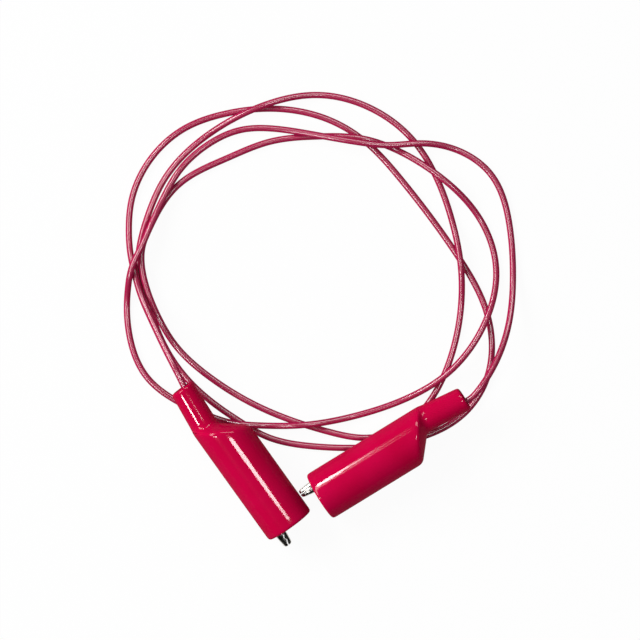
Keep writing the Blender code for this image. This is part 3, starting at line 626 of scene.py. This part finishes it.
def rolled_line(corners, reaches):
    """A closed line with rounded corners and its straight runs cut into even steps."""
    bends = []
    for i, corner in enumerate(corners):
        before = corners[i - 1] - corner
        after = corners[(i + 1) % len(corners)] - corner
        start = corner + before.normalized() * min(reaches[i], BEND_SHARE * before.length)
        end = corner + after.normalized() * min(reaches[i], BEND_SHARE * after.length)
        bends.append([start * (1 - t) ** 2 + corner * 2 * t * (1 - t) + end * t ** 2
                      for t in (k / (BEND_STEPS - 1) for k in range(BEND_STEPS))])
    points = []
    for i, bend in enumerate(bends):
        points += bend
        ahead = bends[(i + 1) % len(bends)][0]
        for k in range(1, STRAIGHT_STEPS[i]):
            points.append(bend[-1].lerp(ahead, k / STRAIGHT_STEPS[i]))
    return points


def moulded_boot(name, stand, seed):
    """The whole sleeve as one closed skin, outside and inside."""
    reaches = [RIM_ROUNDING, SHOULDER_ROUNDING, SHOULDER_ROUNDING, RIM_ROUNDING,
               INNER_ROUNDING, SHOULDER_ROUNDING, SHOULDER_ROUNDING, INNER_ROUNDING]
    # Each line's points from the neck's end to the lip of the mouth, where the hollows fade out.
    outside = 4 * BEND_STEPS + sum(STRAIGHT_STEPS[:3])
    lines = []
    for i in range(BOOT_SIDES):
        turn = 2.0 * math.pi * i / BOOT_SIDES
        corners = boot_corners(turn, 0.0) + list(reversed(boot_corners(turn, BOOT_WALL)))
        line = rolled_line(corners, reaches)
        out = Vector((0.0, math.cos(turn), math.sin(turn)))
        for k in range(outside):
            point = line[k]
            fade = min(1.0, max(0.0, -point.x / HOLLOW_FADE))
            hollow = noise.noise(point * HOLLOWS_PER_METRE + Vector((seed, 0.0, 0.0)))
            line[k] = point - out * HOLLOW_DEPTH * fade * (0.5 + 0.5 * hollow)
            if i % (BOOT_SIDES // 2) == 0:
                line[k] = line[k] + out * SEAM_HEIGHT * fade
        lines.append(line)
    shape = bmesh.new()
    rings = [[shape.verts.new(stand @ p) for p in line] for line in lines]
    count = len(rings[0])
    for i, ring in enumerate(rings):
        after = rings[(i + 1) % len(rings)]
        for k in range(count):
            j = (k + 1) % count
            face = shape.faces.new((ring[k], ring[j], after[j], after[k]))
            face.smooth = True
    bmesh.ops.recalc_face_normals(shape, faces=shape.faces)
    return placed_piece(name, shape)


boot_finish = Finish("boot_vinyl", {
    "Specular IOR Level": 0.0,
    "Coat IOR": 1.5,
    "Coat Roughness": 0.08,
})
boot_place = boot_finish.node("ShaderNodeTexCoord", output="Object")
boot_cloud = boot_finish.grain(boot_place, 90.0)
boot_smear = boot_finish.grain(boot_place, 240.0)
boot_skin_grain = boot_finish.grain(boot_place, 2600.0)
boot_finish.feed("Base Color", boot_finish.tint(
    boot_finish.between(boot_cloud, 0.3, 0.7), (0.58, 0.001, 0.047), (0.64, 0.002, 0.062)))
boot_finish.feed("Roughness", 0.26 + 0.16 * boot_finish.between(boot_smear, 0.4, 0.75))
boot_turned = boot_finish.node("ShaderNodeLayerWeight", None, {"Blend": 0.5}, output="Facing")
boot_finish.feed("Coat Weight", 1.0 - 0.95 * boot_finish.between(boot_turned, 0.11, 0.16))
boot_finish.relief(0.04 * boot_skin_grain + 0.96 * boot_smear, 0.0015 * MM)

for key, seed in HOLLOW_SEEDS.items():
    boot = moulded_boot("moulded_boot_" + key, clip_frame(key), seed)
    boot.data.materials.append(boot_finish.material)
    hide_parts("boot_" + key)
    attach(boot, "boot_" + key)

# The table is a wide white sheet that curves up into a low wall all round. It is seen as paper
# white, also in the plating, and still takes a little of the lead's shadow.
TABLE_RADIUS = 8.0
TABLE_CURVE = 0.5
TABLE_WALL = 0.3
TABLE_SIDES = 64
TABLE_CURVE_STEPS = 8
table_profile = [(0.05 * TABLE_RADIUS, 0.0), (TABLE_RADIUS, 0.0)]
for step in range(1, TABLE_CURVE_STEPS + 1):
    bend = 0.5 * math.pi * step / TABLE_CURVE_STEPS
    table_profile.append((TABLE_RADIUS + TABLE_CURVE * math.sin(bend), TABLE_CURVE * (1.0 - math.cos(bend))))
table_profile.append((TABLE_RADIUS + TABLE_CURVE, TABLE_CURVE + TABLE_WALL))
table_shape = bmesh.new()
table_rings = []
for radius, height in table_profile:
    table_rings.append([table_shape.verts.new((
        radius * math.cos(2.0 * math.pi * k / TABLE_SIDES),
        radius * math.sin(2.0 * math.pi * k / TABLE_SIDES), height)) for k in range(TABLE_SIDES)])
table_shape.faces.new(table_rings[0])
for inner_ring, outer_ring in zip(table_rings, table_rings[1:]):
    for k in range(TABLE_SIDES):
        j = (k + 1) % TABLE_SIDES
        face = table_shape.faces.new((inner_ring[k], outer_ring[k], outer_ring[j], inner_ring[j]))
        face.smooth = True
table_sheet = placed_piece("table_sheet", table_shape)
table_finish = Finish("table_white", {
    "Roughness": 0.9,
    "Specular IOR Level": 0.0,
})
table_camera_ray = table_finish.node("ShaderNodeLightPath", output="Is Camera Ray")
table_glossy_ray = table_finish.node("ShaderNodeLightPath", output="Is Glossy Ray")
table_clear_ray = table_finish.node("ShaderNodeLightPath", output="Is Transmission Ray")
table_seen = table_camera_ray + table_glossy_ray + table_clear_ray
table_finish.feed("Base Color", table_finish.tint(table_camera_ray, (0.45, 0.45, 0.45), (0.95, 0.95, 0.95)))
table_glow = table_finish.node("ShaderNodeEmission", None, {"Color": (1.0, 1.0, 1.0), "Strength": 1.0})
table_mixed = table_finish.node("ShaderNodeMixShader", None, {0: 0.95 * table_seen})
table_finish.tree.links.new(table_finish.shader.outputs[0], table_mixed.socket.node.inputs[1])
table_finish.tree.links.new(table_glow.socket, table_mixed.socket.node.inputs[2])
table_out = table_finish.tree.nodes["Material Output"]
table_finish.tree.links.new(table_mixed.socket, table_out.inputs["Surface"])
table_finish.material.cycles.emission_sampling = "NONE"
table_sheet.data.materials.append(table_finish.material)

# The light is a photographer's: a soft wash from the left that no gloss shows, two narrow cards that
# light only the gloss, and three small lamps, each where a boot mirrors it to the camera as a white
# streak. The cards stand about 45 degrees off both boots, out of their bodies' mirror. The room is dim.
UPRIGHT = Vector((0.0, 0.0, 1.0))


def boot_spot(key, x, turn_degrees):
    """A spot on a boot, by its place along it and its turn from the top, and the way out of it."""
    up = math.sin(math.radians(turn_degrees))
    side = math.cos(math.radians(turn_degrees))
    neck_run = BOOT_LENGTH - SHOULDER_START - SHOULDER_LENGTH
    if x > -SHOULDER_START:
        spot = Vector((x, BODY_OFFSET + BODY_RADIUS * up, BODY_RADIUS * side))
        out = Vector((0.0, up, side))
    else:
        share = (-SHOULDER_START - SHOULDER_LENGTH - x) / neck_run
        radius = NECK_ROOT_RADIUS + (NECK_END_RADIUS - NECK_ROOT_RADIUS) * share
        spot = Vector((x, NECK_OFFSET + NECK_LEAN * share + radius * up, radius * side))
        widening = (NECK_LEAN * up + NECK_END_RADIUS - NECK_ROOT_RADIUS) / neck_run
        out = Vector((widening, up, side)).normalized()
    stand = clip_frame(key)
    return stand @ spot, stand.to_3x3() @ out


def soft_box(name, target, lean, distance, length_way, size, share, shape="ELLIPSE"):
    """A lamp off a target, its length laid one way, that lights paper facing it to a share of white."""
    lamp = bpy.data.lights.new(name, "AREA")
    lamp.shape = shape
    lamp.size = size[0]
    lamp.size_y = size[1]
    lamp.energy = math.pi ** 2 * distance ** 2 * share
    long_way = (length_way - lean * length_way.dot(lean)).normalized()
    turn = Matrix((long_way, lean.cross(long_way), lean)).transposed()
    holder = bpy.data.objects.new(name, lamp)
    holder.matrix_world = Matrix.Translation(target + lean * distance) @ turn.to_4x4()
    holder.visible_camera = False
    bpy.context.scene.collection.objects.link(holder)
    return holder


def streak_lamp(name, key, x, turn_degrees, distance, size, share, shape="ELLIPSE"):
    """A lamp that a spot on a boot mirrors to the camera."""
    spot, out = boot_spot(key, x, turn_degrees)
    view = (camera.location - spot).normalized()
    lean = 2.0 * out.dot(view) * out - view
    soft_box(name, spot, lean, distance, clip_frame(key).to_3x3().col[0], size, share, shape)


def side_way(right, up, height):
    """A way named as it looks in the picture, and up from the table."""
    return (right * picture_right + up * picture_up + Vector((0.0, 0.0, height))).normalized()


streak_lamp("body_a_lamp", "a", x=-23.5 * MM, turn_degrees=6.8,
            distance=0.8, size=(0.064, 0.25), share=0.12)
streak_lamp("body_b_lamp", "b", x=0.0, turn_degrees=-26.2,
            distance=0.8, size=(0.038, 0.19), share=0.09)
streak_lamp("neck_a_lamp", "a", x=-44.3 * MM, turn_degrees=-18.0,
            distance=1.0, size=(0.060, 0.24), share=0.14, shape="RECTANGLE")
wash = soft_box("left_wash", PICTURE_CENTER, side_way(-0.70, 0.28, 0.66), distance=1.4,
                length_way=UPRIGHT, size=(0.9, 0.9), share=0.76)
wash.visible_glossy = False
for name, way, share in (
    ("left_card", side_way(-0.65, 0.13, 0.75), 0.32),
    ("top_card", side_way(0.14, 0.70, 0.70), 0.24),
):
    card = soft_box(name, PICTURE_CENTER, way, distance=1.2,
                    length_way=UPRIGHT, size=(0.3, 0.9), share=share, shape="RECTANGLE")
    card.visible_diffuse = False

room = bpy.data.worlds.new("dim_room")
bpy.context.scene.world = room
room.use_nodes = True
room_light = room.node_tree.nodes["Background"].inputs
room_light["Color"].default_value = (1.0, 1.0, 1.0, 1.0)
room_light["Strength"].default_value = 0.16
room.cycles_visibility.glossy = False
